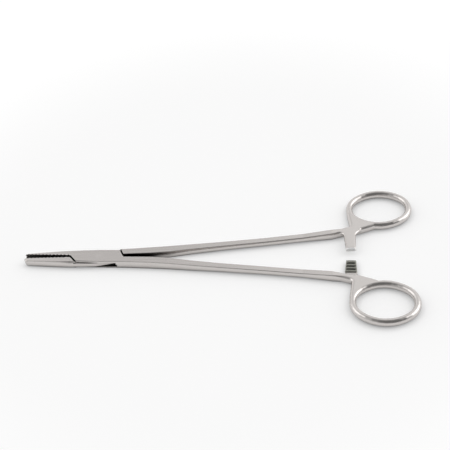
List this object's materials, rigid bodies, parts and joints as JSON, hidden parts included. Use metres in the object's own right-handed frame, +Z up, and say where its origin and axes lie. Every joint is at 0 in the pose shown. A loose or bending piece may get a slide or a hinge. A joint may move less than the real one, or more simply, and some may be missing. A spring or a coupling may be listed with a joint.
{
  "type": "surgical needle holder",
  "caption": "Long straight surgical needle holder in satin stainless steel, with a box lock, short blunt jaws, oval finger rings and a ratchet.",
  "frame": {"origin": "on the axis of the hinge pin, at the underside of the box lock, the plane on which the instrument lies", "axes": "-X towards the jaw tips and +X towards the finger rings along the centre line, +Y towards the ring of the half with the tongue, +Z up along the hinge pin"},
  "size_m": [0.1991, 0.091, 0.0046],
  "materials": {
    "steel": "satin"
  },
  "bodies": {
    "box_side": {"box_half": "steel", "hinge_pin": "steel"},
    "tongue_side": {"tongue_half": "steel"}
  },
  "joints": [
    {"name": "box_lock", "type": "hinge", "parent": "box_side", "child": "tongue_side", "pos_m": [0, 0, 0], "axis": [0, 0, 1], "range_deg": [-3.5, 56.5]}
  ]
}
